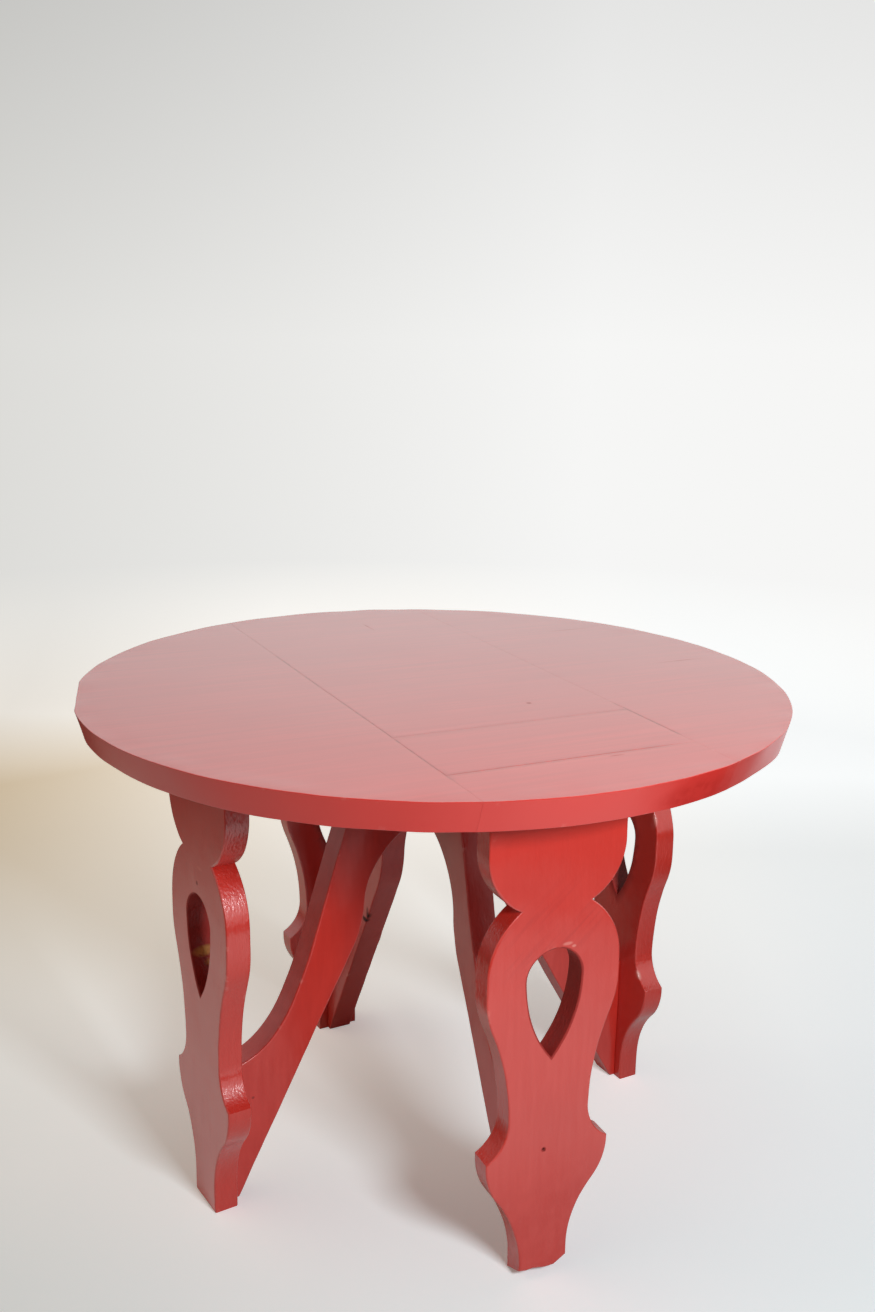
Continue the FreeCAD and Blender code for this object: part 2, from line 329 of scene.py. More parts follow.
def front_leg_outline():
    """Outline of the front leg board, with its fuller left side and its broken foot."""
    right = leg_side(foot_height, flare_share)
    left = mirrored(leg_side(front_foot_height, front_flare_share))
    broken = max(height for across, height in front_foot_worn)
    line = [(across, height) for across, height in right + left if height > broken]
    return dense(line + list(front_foot_worn))


def screw_hole():
    """Outline of the one screw hole that shows, in the front leg."""
    turns = full_turn(screw_hole_sides)
    return [round_point(screw_hole_place, screw_hole_radius, turn) for turn in turns]


def teardrop_outline():
    """Outline of the piercing: a round top and two sides that meet in a point."""
    top = arc((0.0, teardrop_height), teardrop_half_width, pi, 0.0)
    side = upright_arc((teardrop_half_width, teardrop_height), (0.0, teardrop_height - teardrop_tail))
    return dense(top + side + mirrored(side))


def brace_lower_edge(toe):
    """Lower edge of a brace: straight from the toe, round the knee, and along the arch."""
    arch_centre = (0.0, brace_arch_height)
    knee = round_point(arch_centre, brace_arch_radius, -radians(brace_knee_angle))
    run = dist(knee, toe)
    along = ((knee[0] - toe[0]) / run, (knee[1] - toe[1]) / run)
    normal = (along[1], -along[0])
    # The knee arc touches the straight run and the outside of the arch
    offset = normal[0] * toe[0] + normal[1] * (toe[1] - brace_arch_height) + brace_knee_radius
    back = sqrt((brace_arch_radius + brace_knee_radius) ** 2 - offset ** 2)
    centre = (
        offset * normal[0] - back * along[0],
        brace_arch_height + offset * normal[1] - back * along[1],
    )
    leaving_turn = atan2(centre[1] - brace_arch_height, centre[0])
    start_turn = pi + atan2(normal[1], normal[0])
    end_turn = acos(brace_end_reach / brace_arch_radius)
    knee_arc = arc(centre, brace_knee_radius, start_turn, pi + leaving_turn)
    return knee_arc + arc(arch_centre, brace_arch_radius, leaving_turn, end_turn)


def brace_upper_edge(shoulder, bend_reach):
    """Upper edge of a brace: straight down from the top, then sweeping out to the leg board."""
    head = (brace_head_reach, underside)
    bend = (bend_reach, brace_bend_height)
    lean = dist(head, bend)
    bend_handle = [b + brace_bend_pull * (b - h) / lean for b, h in zip(bend, head)]
    shoulder_handle = (shoulder[0] - brace_shoulder_pull, shoulder[1])
    poles = (bend, bend_handle, shoulder_handle, shoulder)
    count = ceil(dist(bend, shoulder) / outline_step)
    sweep = []
    for place in range(count + 1):
        t = place / count
        shares = ((1 - t) ** 3, 3 * t * (1 - t) ** 2, 3 * t ** 2 * (1 - t), t ** 3)
        sweep.append(tuple(sum(s * p[axis] for s, p in zip(shares, poles)) for axis in (0, 1)))
    return [head] + sweep


def brace_outline(back_reach, bend_reach):
    """Outline of a brace, from its leg board to the hub post: reach and height."""
    toe = (back_reach - brace_toe, brace_lift)
    shoulder = (back_reach, brace_shoulder_height)
    line = [toe] + brace_lower_edge(toe) + [(brace_end_reach, underside)]
    line += brace_upper_edge(shoulder, bend_reach) + [(back_reach, brace_lift)]
    return dense(line)


# Boards as meshes


def loop_normals(loop):
    """Unit normals of a loop's edges, pointing to the left of the way round."""
    ahead = np.roll(loop, -1, axis=0) - loop
    ahead /= np.linalg.norm(ahead, axis=1)[:, None]
    return np.stack([-ahead[:, 1], ahead[:, 0]], axis=1)


def ring_quads(first, rings, size):
    """Faces between rings of points, all of one size, from the number of the first point."""
    quads = []
    for here in range(first, first + (rings - 1) * size, size):
        there = here + size
        for edge in range(size):
            ahead = (edge + 1) % size
            quads.append((here + edge, there + edge, there + ahead, here + ahead))
    return quads


def add_object(name, data):
    """A new object in the scene."""
    made = bpy.data.objects.new(name, data)
    scene.collection.objects.link(made)
    return made


def add_mesh(name, vertices, faces):
    """A new object in the scene, with a smooth mesh."""
    mesh = bpy.data.meshes.new(name)
    mesh.from_pydata(vertices, [], faces)
    mesh.shade_smooth()
    return add_object(name, mesh)


def edge_values(rule, loop, *inset):
    """What a rule gives for each edge of a loop. A plain number holds for all of them."""
    if not callable(rule):
        return np.full(len(loop), rule)
    return np.array([rule(loop, edge, *inset) for edge in range(len(loop))])


def clear_corners(loop, room):
    """The loop without the points that crowd its sharp corners."""
    before = loop - np.roll(loop, 1, axis=0)
    after = np.roll(loop, -1, axis=0) - loop
    crossing = before[:, 0] * after[:, 1] - before[:, 1] * after[:, 0]
    turn = np.arctan2(crossing, np.sum(before * after, axis=1))
    sharp = np.abs(turn) > radians(sharp_corner)
    if not sharp.any():
        return loop
    nearest = np.min(np.linalg.norm(loop[:, None, :] - loop[sharp][None, :, :], axis=2), axis=1)
    return loop[sharp | (nearest > edge_values(room, loop))]


def inset_loop(loop, insets):
    """The loop moved into the board by one distance for each edge, meeting at the corners."""
    after = loop_normals(loop)
    before = np.roll(after, 1, axis=0)
    inset_before = np.roll(insets, 1)
    turn = before[:, 0] * after[:, 1] - before[:, 1] * after[:, 0]
    straight = np.abs(turn) < straight_turn
    safe = np.where(straight, 1.0, turn)
    corner_x = (inset_before * after[:, 1] - insets * before[:, 1]) / safe
    corner_y = (before[:, 0] * insets - after[:, 0] * inset_before) / safe
    mean = (before * inset_before[:, None] + after * insets[:, None]) / 2
    return loop + np.where(straight[:, None], mean, np.stack([corner_x, corner_y], axis=1))


def signed_area(loop):
    """Area of a loop, positive where it runs anticlockwise."""
    ahead = np.roll(loop, -1, axis=0)
    return 0.5 * np.sum(loop[:, 0] * ahead[:, 1] - loop[:, 1] * ahead[:, 0])


def inside(points, loop):
    """Which of the points lie inside a loop."""
    ahead = np.roll(loop, -1, axis=0)
    px, py = points[:, 0][:, None], points[:, 1][:, None]
    spans = (loop[:, 1] > py) != (ahead[:, 1] > py)
    rise = ahead[:, 1] - loop[:, 1]
    rise = np.where(rise == 0, 1.0, rise)
    crossing = loop[:, 0] + (py - loop[:, 1]) * (ahead[:, 0] - loop[:, 0]) / rise
    return np.sum(spans & (px < crossing), axis=1) % 2 == 1


def face_points(loops, step):
    """Staggered points inside the first loop, outside the others, and clear of them all."""
    low, high = loops[0].min(axis=0), loops[0].max(axis=0)
    rows = np.arange(low[1] + step / 2, high[1], step * face_row_share)
    columns = np.arange(low[0], high[0] + step, step)
    grid_x = columns[None, :] + (np.arange(len(rows))[:, None] % 2) * step / 2
    grid_y = np.repeat(rows[:, None], len(columns), axis=1)
    grid = np.stack([grid_x, grid_y], axis=2).reshape(-1, 2)
    keep = inside(grid, loops[0])
    for hole in loops[1:]:
        keep &= ~inside(grid, hole)
    for loop in loops:
        nearest = np.min(np.linalg.norm(grid[:, None, :] - loop[None, :, :], axis=2), axis=1)
        keep &= nearest > face_clear_share * step
    return grid[keep]


def face_triangles(loops, extra):
    """Triangles of the face between the loops, with the extra points in it."""
    points = np.concatenate(loops + [extra])
    edges, start = [], 0
    for loop in loops:
        count = len(loop)
        edges += [(start + place, start + (place + 1) % count) for place in range(count)]
        start += count
    made = delaunay_2d_cdt([Vector(p) for p in points], edges, [], 1, touching)
    triangles = np.array([[made[3][corner][0] for corner in face] for face in made[2]])
    middles = points[triangles].mean(axis=1)
    keep = np.ones(len(triangles), bool)
    for hole in loops[1:]:
        keep &= ~inside(middles, hole)
    return triangles[keep]


def at_points(values):
    """Values of a loop's edges taken to its points: the mean of the two that meet."""
    return (values + np.roll(values, 1)) / 2


def board_rings(loop, thickness, ease, shoulders, dip):
    """Rings of a board from its face over the arris, down the wall and round to its back.

    Each has an inset for each edge, a depth for each point, and how much of an arris it is.
    """
    point_ease = at_points(ease)
    sunk = at_points(edge_values(dip, loop, 0.0))
    rings = []
    for extra in reversed(shoulders):
        rings.append((ease + extra, at_points(edge_values(dip, loop, extra)), shoulder_mark / extra))
    for count in range(arris_steps, -1, -1):
        turn = pi / 2 * count / arris_steps
        depth = point_ease * (1 - sin(turn)) + count / arris_steps * sunk
        rings.append((ease * (1 - cos(turn)), depth, 1.0))
    for count in range(1, wall_steps):
        share = count / wall_steps
        rings.append((0 * ease, point_ease + share * (thickness - 2 * point_ease), 0.0))
    for count in range(arris_steps + 1):
        turn = pi / 2 * count / arris_steps
        rings.append((ease * (1 - cos(turn)), thickness - point_ease * (1 - sin(turn)), 1.0))
    rings.append((ease + shoulders[0], np.full(len(loop), thickness), shoulder_mark / shoulders[0]))
    return rings


def board(name, outlines, thickness, place, arris, lean=0.0, shoulders=(1.0,), dip=0.0,
          room=corner_room, dirt_and_shade=0.0):
    """Mesh object of a board with eased arrises.

    outlines are the closed lines of its face, the outer one first. place puts a point (across,
    up, depth) in the frame. The rules are plain numbers or functions: arris(loop, edge) is the
    ease of an edge, lean(loop, edge) how far its wall leans in over the thickness, room(loop,
    edge) how far its start stays from sharp corners. shoulders are the insets of the rings on the
    face beside an edge, where dip(loop, edge, inset) sinks it and dirt_and_shade(loop, edge, inset)
    marks it for darker paint: grime, and painted shade.
    """
    loops = []
    for number, outline in enumerate(outlines):
        loop = np.array(outline, float)
        if (signed_area(loop) > 0) != (number == 0):
            loop = loop[::-1].copy()
        loops.append(clear_corners(loop, room))

    vertices, quads, rims = [], [], {"front": [], "back": []}
    marks = {"arris": [], "grime_and_shade": [], "sawn": []}
    for loop in loops:
        size = len(loop)
        leans = edge_values(lean, loop)
        rings = board_rings(loop, thickness, edge_values(arris, loop), shoulders, dip)
        wall_start = len(shoulders) + arris_steps // 2
        wall_end = len(rings) - 1 - arris_steps // 2
        quads += ring_quads(len(vertices), len(rings), size)
        for ring, (inset, depth, mark) in enumerate(rings):
            flat = inset_loop(loop, inset + leans * depth.mean() / thickness)
            if ring == 0:
                rims["front"].append((len(vertices), flat))
            if ring == len(rings) - 1:
                rims["back"].append((len(vertices), flat))
            vertices += [(p[0], p[1], d) for p, d in zip(flat, depth)]
            # What each edge gives this ring for darker paint: grime, and painted shade
            soiled_and_shaded = edge_values(dirt_and_shade, loop, shoulders[-1 - ring] if ring < len(shoulders) else 0.0)
            marks["arris"] += [mark] * size
            marks["grime_and_shade"] += list(np.maximum(soiled_and_shaded, np.roll(soiled_and_shaded, 1)))
            marks["sawn"] += [float(wall_start < ring < wall_end)] * size

    triangles = []
    for side, depth in (("front", 0.0), ("back", thickness)):
        flats = [flat for start, flat in rims[side]]
        extra = face_points(flats, face_step)
        numbers = [start + np.arange(len(flat)) for start, flat in rims[side]]
        numbers.append(len(vertices) + np.arange(len(extra)))
        vertices += [(p[0], p[1], depth) for p in extra]
        for values in marks.values():
            values += [0.0] * len(extra)
        faces = np.concatenate(numbers)[face_triangles(flats, extra)]
        triangles += (faces if side == "front" else faces[:, ::-1]).tolist()

    made = add_mesh(name, [place(*vertex) for vertex in vertices], quads + triangles)
    for label, values in marks.items():
        made.data.attributes.new(label, "FLOAT", "POINT").data.foreach_set("value", values)
    made.data.set_sharp_from_angle(angle=radians(sharp_edge))
    made.modifiers.new("even_shading", "WEIGHTED_NORMAL").keep_sharp = True
    return made


def dress(piece, node, material):
    """Put a finished board in the place of its solid."""
    piece.data.materials.append(material)
    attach(piece, "root")
    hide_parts(node)
    return piece


# Shader nodes


def add_node(tree, kind, inputs=None, output=0, **settings):
    """Add a shader node and give one of its outputs. Inputs are plain values or sockets."""
    node = tree.nodes.new(f"ShaderNode{kind}")
    for key, value in settings.items():
        setattr(node, key, value)
    for key, value in (inputs or {}).items():
        if isinstance(value, bpy.types.NodeSocket):
            tree.links.new(value, node.inputs[key])
        else:
            node.inputs[key].default_value = value
    return node.outputs[output]


def srgb(red, green, blue):
    """Linear colour with full alpha, from the 0 to 255 values that it shows."""
    def linear(value):
        share = value / 255
        return share / 12.92 if share <= 0.04045 else ((share + 0.055) / 1.055) ** 2.4
    return (linear(red), linear(green), linear(blue), 1.0)


def blank_material(name):
    """A material, its empty node tree, and the frame's coordinates in it."""
    material = bpy.data.materials.new(name)
    material.use_nodes = True
    tree = material.node_tree
    tree.nodes.clear()
    return material, tree, add_node(tree, "TexCoord", output="Object")


def finished(material, shader):
    """The material, with a shader led to its surface."""
    output = material.node_tree.nodes.new("ShaderNodeOutputMaterial")
    material.node_tree.links.new(shader, output.inputs["Surface"])
    return material


EVENLY = (1.0, 1.0, 1.0)
# Share of a spot's radius that is full
SPOT_CORE = 0.45


def stretched_noise(coords, scale, stretch=EVENLY, detail=3.0):
    """Noise drawn out along the axes: stretch multiplies its scale on each of them."""
    tree = coords.id_data
    spread = add_node(tree, "Mapping", {"Vector": coords, "Scale": stretch})
    return add_node(tree, "TexNoise", {"Vector": spread, "Scale": scale, "Detail": detail})


def remap(value, low, high, to_low, to_high):
    """A value taken from one range to another, held at its ends."""
    return add_node(value.id_data, "MapRange", {
        "Value": value, "From Min": low, "From Max": high, "To Min": to_low, "To Max": to_high,
    })


def ramp(value, start, end, full=1.0):
    """Rise of a value from 0 at the start to full at the end."""
    return remap(value, start, end, 0.0, full)


def between(share, none, full):
    """A number that a share takes from one value, at none, to another."""
    return remap(share, 0.0, 1.0, none, full)


def mixed(share, first, second):
    """Mix of two colours, by a share that a socket gives."""
    colours = {"Factor": share, 6: first, 7: second}
    return add_node(share.id_data, "Mix", colours, 2, data_type="RGBA")


def calculated(operation, first, second):
    """Result of one operation on two numbers, of which a socket gives the first."""
    return add_node(first.id_data, "Math", {0: first, 1: second}, operation=operation)


times = partial(calculated, "MULTIPLY")
added = partial(calculated, "ADD")
larger = partial(calculated, "MAXIMUM")


def scaled(colour, strength):
    """A colour times a number that a socket gives."""
    inputs = {0: colour, "Scale": strength}
    return add_node(strength.id_data, "VectorMath", inputs, operation="SCALE")


def parts_of(vector):
    """X, Y and Z of a vector."""
    return tuple(add_node(vector.id_data, "SeparateXYZ", {"Vector": vector}).node.outputs)


def length_of(vector):
    """Length of a vector."""
    return add_node(vector.id_data, "VectorMath", {0: vector}, "Value", operation="LENGTH")


def spot(coords, centre, radii):
    """Mask of an ellipsoid, given in millimetres: 1 in its middle, fading to 0 at its border."""
    shaped = coords
    for operation, sizes in (("SUBTRACT", centre), ("DIVIDE", radii)):
        inputs = {0: shaped, 1: [size * MM for size in sizes]}
        shaped = add_node(coords.id_data, "VectorMath", inputs, operation=operation)
    return remap(length_of(shaped), SPOT_CORE, 1.0, 1.0, 0.0)


# Materials

# The table has one red all over. The top's reds are painted lighter, as painted light on the face that
# looks up, and the reds of the legs, braces and underside darker, as painted shade under the top
LIT_TOP_REDS = (srgb(238, 47, 39), srgb(218, 38, 31))
SHADED_LEG_REDS = (srgb(204, 46, 33), srgb(187, 37, 26))
# Painted shade: the rim and the other faces of the top that don't look up take this darker red
SHADED_RIM_RED = srgb(208, 40, 31)
# Painted shade: a deeper red patch on the rim's right front, where the rim reflects little
RIM_SHADE_PATCH_RED = srgb(160, 20, 16)
# Painted shade: the darker red on the walls of the legs' piercings
HOLLOW_SHADE_RED = srgb(146, 34, 27)
# Painted shade: the front foot's red, darker towards the floor
FOOT_SHADE_RED = srgb(172, 40, 34)
# Scuffs and rubbed arrises, and one painted highlight line along the left leg's arris above its neck
SCUFF_AND_HIGHLIGHT_PINK = srgb(224, 150, 138)
# Grime in the seams and in other marks, and painted shade along the top's cross seams
GRIME_AND_SHADE = srgb(146, 54, 46)
# Dark marks, and the painted shade of the front leg's screw hole
DARK_SPOT_AND_HOLE_SHADE = srgb(52, 16, 13)
BARE_WOOD = srgb(206, 150, 82)

# Noises in the paint: scale, how they are drawn out along X, Y and Z, and detail
CLOUDS = (7.0, EVENLY, 3.0)
RUBS = (55.0, EVENLY, 5.0)
BUMPS = (300.0, (1.0, 1.0, 0.3), 2.0)
SLANTING = (190.0, (0.07, 1.0, 1.0), 3.0)
SLANT = 42.0

# Where in a noise, or in how far a face looks up, a feature of the paint begins and is full
THIN = (0.3, 0.75)
STREAKED = (0.35, 0.65)
RUBBED = (0.62, 0.72)
RAGGED = (0.4, 0.55)
CROSSED = (0.48, 0.68)
UPWARD = (0.3, 0.8)


def red_paint(name, reds, brush, gloss, relief, wear, marks=(), rubs_and_highlight=(), shaded_side_red=None,
              soil_and_shade=(GRIME_AND_SHADE, 0.75, 0.25), crossed=None, sawn_gloss=1.0):
    """Brushed red gloss paint under a clear coat.

    reds: full and deep colour. brush: scale of the brush marks, how they are drawn out along X, Y
    and Z, how much they show, and the share of gloss in them. gloss: the coat's roughness. relief:
    depth in millimetres of the brush marks and of the fine bumps. wear: how rubbed the arrises
    are. marks: spots (centre, radii, colour, strength), some of them painted shade.
    rubs_and_highlight: places (centre, radii, strength) where an arris is rubbed pale, and in one
    place painted with a pale highlight line. shaded_side_red: colour of faces that don't look up,
    a darker red as painted shade. soil_and_shade: colour of grime and of painted shade, how much
    gloss it leaves, and its least share. crossed: centre and radii of a place brushed slantwise.
    sawn_gloss: share of gloss on sawn edges.
    """
    full, deep = reds
    brush_scale, stroke, brush_share, thin_gloss = brush
    brush_relief, bump_relief = relief
    soil_and_shade_colour, soil_and_shade_gloss, least_soil_and_shade = soil_and_shade
    material, tree, coords = blank_material(name)
    arris, grime_and_shade, sawn = (
        add_node(tree, "Attribute", output="Fac", attribute_name=label)
        for label in ("arris", "grime_and_shade", "sawn")
    )
    streaks = stretched_noise(coords, brush_scale, stroke, 6.0)
    rub_noise = stretched_noise(coords, *RUBS)

    colour = mixed(ramp(stretched_noise(coords, *CLOUDS), *THIN, 0.55), full, deep)
    colour = mixed(ramp(streaks, *STREAKED, brush_share), colour, deep)
    # Painted shade: faces that don't look up, such as the rim, are given a darker red
    if shaded_side_red:
        upward = parts_of(add_node(tree, "NewGeometry", output="Normal"))[2]
        colour = mixed(ramp(upward, *UPWARD), shaded_side_red, colour)
    rubbed = ramp(rub_noise, *RUBBED, wear)
    colour = mixed(times(rubbed, arris), colour, SCUFF_AND_HIGHLIGHT_PINK)
    ragged = remap(rub_noise, *RAGGED, 0.25, 1.0)
    # Pale rubs on arrises; the one on the left leg above its neck is a painted highlight line
    for centre, radii, strength in rubs_and_highlight:
        rub_and_highlight = times(spot(coords, centre, radii), times(ragged, arris))
        colour = mixed(times(rub_and_highlight, strength), colour, SCUFF_AND_HIGHLIGHT_PINK)
    # Grime at the top's seams, and painted shade at its cross seams and on the walls of the legs'
    # piercings
    soiled_and_shaded = times(grime_and_shade, remap(rub_noise, *RAGGED, least_soil_and_shade, 1.0))
    colour = mixed(soiled_and_shaded, colour, soil_and_shade_colour)
    if crossed:
        slanted = add_node(tree, "Mapping", {"Vector": coords, "Rotation": (0, radians(SLANT), 0)})
        strokes = ramp(stretched_noise(slanted, *SLANTING), *CROSSED, 0.75)
        colour = mixed(times(strokes, spot(coords, *crossed)), colour, deep)
    broken = remap(rub_noise, *RAGGED, 0.6, 1.0)
    unmarked = 1.0
    # Spots of paint: stains, scuffs and bare wood, and painted shade on the rim, the front foot and in
    # the screw hole
    for centre, radii, shade, strength in marks:
        mark = times(times(spot(coords, centre, radii), broken), strength)
        colour = mixed(mark, colour, shade)
        unmarked = times(between(mark, 1.0, 0.1), unmarked)

    brushed = add_node(tree, "Bump", {
        "Height": streaks, "Strength": 1.0, "Distance": brush_relief * MM,
    })
    bumpy = add_node(tree, "Bump", {
        "Height": times(stretched_noise(coords, *BUMPS), between(sawn, 0.2, 1.0)), "Strength": 1.0,
        "Distance": bump_relief * MM, "Normal": brushed,
    })
    clean = times(between(grime_and_shade, 1.0, soil_and_shade_gloss), unmarked)
    roughness = remap(clean, 0.1, 1.0, 0.9, 0.4)
    sheen = times(clean, remap(streaks, *STREAKED, 1.0, thin_gloss))
    sheen = times(sheen, between(sawn, 1.0, sawn_gloss))
    if shaded_side_red:
        sheen = times(sheen, remap(upward, *UPWARD, 0.6, 1.0))
    return finished(material, add_node(tree, "BsdfPrincipled", {
        "Base Color": colour, "Roughness": roughness, "Normal": bumpy, "Coat Weight": sheen,
        "Coat Roughness": gloss, "Coat IOR": 1.5, "Coat Normal": bumpy,
    }))


def wood_material():
    """Bare wood, its grain drawn out along X."""
    material, tree, coords = blank_material("bare_wood")
    grain = stretched_noise(coords, 900.0, (0.05, 1.0, 1.0), 4.0)
    colour = mixed(ramp(grain, 0.3, 0.7), srgb(176, 134, 88), srgb(205, 168, 122))
    fibres = add_node(tree, "Bump", {"Height": grain, "Distance": 0.05 * MM})
    return finished(material, add_node(tree, "BsdfPrincipled", {
        "Base Color": colour, "Roughness": 0.7, "Normal": fibres,
    }))


def steel_material():
    """Plain steel, dulled and spotted with age."""
    material, tree, coords = blank_material("steel")
    stains = stretched_noise(coords, 400.0, detail=4.0)
    colour = mixed(ramp(stains, 0.35, 0.7), srgb(176, 174, 170), srgb(120, 104, 92))
    return finished(material, add_node(tree, "BsdfPrincipled", {
        "Base Color": colour, "Metallic": 1.0, "Roughness": remap(stains, 0.3, 0.7, 0.3, 0.55),
    }))


# Marks in the paint that the photograph shows, in millimetres


def on_leg(name, across, height, depth=0.0):
    """Point of a leg board, at a depth behind its outer face."""
    azimuth, reach, _ = leg_places[name]
    away, across_way = outward(azimuth)
    return away * (reach - depth) + across_way * across + UP * height


def on_brace(name, along, height):
    """Point on the side of a brace that the camera sees."""
    away, across_way = outward(leg_places[name][0])
    return away * along + across_way * (brace_thickness / 2) + UP * height


top_marks = [
    ((51.0, 380.0, table_height), (2.0, 34.0, 4.0), GRIME_AND_SHADE, 0.35),
    ((377.0, 234.0, table_height), (52.0, 2.0, 4.0), GRIME_AND_SHADE, 0.35),
    ((430.0, -26.0, table_height), (56.0, 2.0, 4.0), GRIME_AND_SHADE, 0.35),
    ((78.0, -157.0, table_height), (5.0, 5.0, 4.0), GRIME_AND_SHADE, 0.5),
    ((65.0, -409.0, table_height), (14.0, 2.0, 4.0), GRIME_AND_SHADE, 0.5),
    # Painted shade: a deeper red patch on the rim's right front, where the rim reflects little
    ((130.0, -501.0, table_height - 30.0), (85.0, 70.0, 28.0), RIM_SHADE_PATCH_RED, 0.5),
]
leg_marks = [
    (on_leg("front", 17.6, 494.0), (9.0, 6.0, 3.0), SCUFF_AND_HIGHLIGHT_PINK, 0.7),
    (on_leg("front", 27.0, 489.0), (4.0, 6.0, 2.5), SCUFF_AND_HIGHLIGHT_PINK, 0.6),
    # Painted shade: the screw hole's dark inside and edge
    (on_leg("front", *screw_hole_place), (2.6, 6.0, 2.6), DARK_SPOT_AND_HOLE_SHADE, 0.9),
    (on_leg("front", -4.6, 194.5), (2.4, 6.0, 2.0), DARK_SPOT_AND_HOLE_SHADE, 0.5),
    # Painted shade: the front foot darker towards the floor
    (on_leg("front", 0.0, 30.0), (150.0, 50.0, 190.0), FOOT_SHADE_RED, 0.3),
    (on_leg("left", 0.0, 508.0), (6.0, 5.0, 4.0), DARK_SPOT_AND_HOLE_SHADE, 0.6),
    (on_leg("left", 10.0, 533.0), (6.0, 12.0, 3.0), SCUFF_AND_HIGHLIGHT_PINK, 0.3),
    (on_leg("left", -31.0, 387.0, 22.0), (22.0, 22.0, 9.0), BARE_WOOD, 1.0),
    (on_leg("left", -27.0, 371.0, 30.0), (14.0, 18.0, 7.0), BARE_WOOD, 0.9),
]
leg_rubs_and_highlight = [
    # Painted highlight: a pale line along the left leg's arris above its neck. The two on the right leg
    # are rubs.
    (on_leg("left", 62.0, 568.0), (8.0, 14.0, 20.0), 0.8),
    (on_leg("right", -86.0, 494.0, leg_board_thickness), (10.0, 10.0, 16.0), 0.9),
    (on_leg("right", -68.0, 214.0, leg_board_thickness), (10.0, 10.0, 9.0), 0.9),
]
brace_marks = [
    (on_brace("left", 315.0, 160.0), (3.0, 6.0, 3.0), DARK_SPOT_AND_HOLE_SHADE, 0.8),
    (on_brace("back", 184.0, 300.0), (10.0, 6.0, 15.0), DARK_SPOT_AND_HOLE_SHADE, 1.0),
    (on_brace("back", 194.0, 286.0), (10.0, 14.0, 6.5), DARK_SPOT_AND_HOLE_SHADE, 1.0),
]
front_crossed = (on_leg("front", 0.0, 515.0), (125.0, 40.0, 85.0))

# Brush marks run along X on the top and under it, and upright on legs and braces
TOP_BRUSH = (110.0, (0.035, 1.0, 1.0), 0.6, 0.95)
LEG_BRUSH = (160.0, (1.0, 1.0, 0.08), 0.22, 0.85)
BRACE_BRUSH = (200.0, (0.6, 0.6, 0.1), 0.5, 0.75)
UNDER_BRUSH = (160.0, (0.08, 1.0, 1.0), 0.4, 0.8)
# The reds of these paints carry painted light and shade: lighter on the top, darker on the legs, braces
# and underside
top_paint = red_paint(
    "red_paint_top", LIT_TOP_REDS, TOP_BRUSH, 0.22, (0.05, 0.004), 0.2, top_marks, shaded_side_red=SHADED_RIM_RED,
)
# The legs' soil colour is painted shade on the walls of their piercings
leg_paint = red_paint(
    "red_paint_legs", SHADED_LEG_REDS, LEG_BRUSH, 0.08, (0.15, 0.7), 0.3, leg_marks, leg_rubs_and_highlight,
    soil_and_shade=(HOLLOW_SHADE_RED, 0.1, 0.9), crossed=front_crossed,
)
brace_paint = red_paint(
    "red_paint_braces", SHADED_LEG_REDS, BRACE_BRUSH, 0.2, (0.2, 0.22), 0.3, brace_marks, sawn_gloss=0.45,
)
under_paint = red_paint("red_paint_underside", SHADED_LEG_REDS, UNDER_BRUSH, 0.3, (0.1, 0.2), 0.3)
bare_wood = wood_material()
steel = steel_material()


# Table top


def edge_middle(loop, edge):
    """Middle of an edge of a loop."""
    return (loop[edge] + loop[(edge + 1) % len(loop)]) / 2


def at_rim(point):
    """Whether a point of a top board's outline lies on the round rim."""
    return hypot(*point) > top_radius - rim_band


def by_rim(x, y, reach):
    """Smooth step between two distances in from the rim."""
    return fade(hypot(x, y), top_radius - reach[0], top_radius - reach[1])


def rim_radius(turn):
    """Radius of the top at an angle in radians: round, but for one flat that the saw left."""
    aside = cos(turn - radians(flat_azimuth))
    return min(top_radius, (top_radius - flat_depth) / aside) if aside > 0 else top_radius


def top_outline(low_x, high_x, low_y, high_y):
    """The part of the round top between two pairs of seams."""
    count = ceil(2 * pi * top_radius / outline_step)
    line = [round_point((0.0, 0.0), rim_radius(turn), turn) for turn in full_turn(count)]
    for axis, bound, sign in ((0, low_x, 1), (0, high_x, -1), (1, low_y, 1), (1, high_y, -1)):
        cut = []
        for start, end in zip(line, line[1:] + line[:1]):
            here, there = sign * (start[axis] - bound), sign * (end[axis] - bound)
            if here >= 0:
                cut.append(start)
            if (here > 0) != (there > 0) and here != there:
                cut.append(part_way(start, end, here / (here - there)))
        line = cut
    kept = [p for p, q in zip(line, line[1:] + line[:1]) if dist(p, q) > least_run]
    return dense(kept)


def top_place(x, y, depth):
    """Point of the top, at a depth below its face."""
    point = Vector((x, y, table_height - depth)) * MM
    wavy = by_rim(x, y, rim_waves_reach)
    return point + uneven(point, *top_waves) + uneven(point, *rim_waves) * wavy


def long_seam_opening(y, crack, tapers, cracked, filled):
    """How open a long seam is at a place along it."""
    start, end = crack
    gaping = fade(y, end + tapers[0], end) * fade(y, start - tapers[1], start)
    closed = filled[0] if y > start else filled[1]
    return closed + (cracked - closed) * gaping


def seam_opening(x, y):
    """How open the top's seams are at a place."""
    inland = by_rim(x, y, rim_taper)
    if abs(x - left_seam) < on_seam:
        return inland * long_seam_opening(y, *left_opening)
    if abs(x - right_seam) < on_seam:
        return inland * long_seam_opening(y, *right_opening)
    if abs(y - front_seam) < on_seam:
        return front_opening * fade(x, right_seam - front_taper[0], right_seam - front_taper[1])
    return strip_opening


def top_arris(loop, edge):
    """Ease of a top board's edge: round at the rim, a fine line of changing width at a seam."""
    middle = edge_middle(loop, edge)
    if at_rim(middle):
        return rim_ease
    return seam_least_ease + seam_open_ease * seam_opening(*middle)


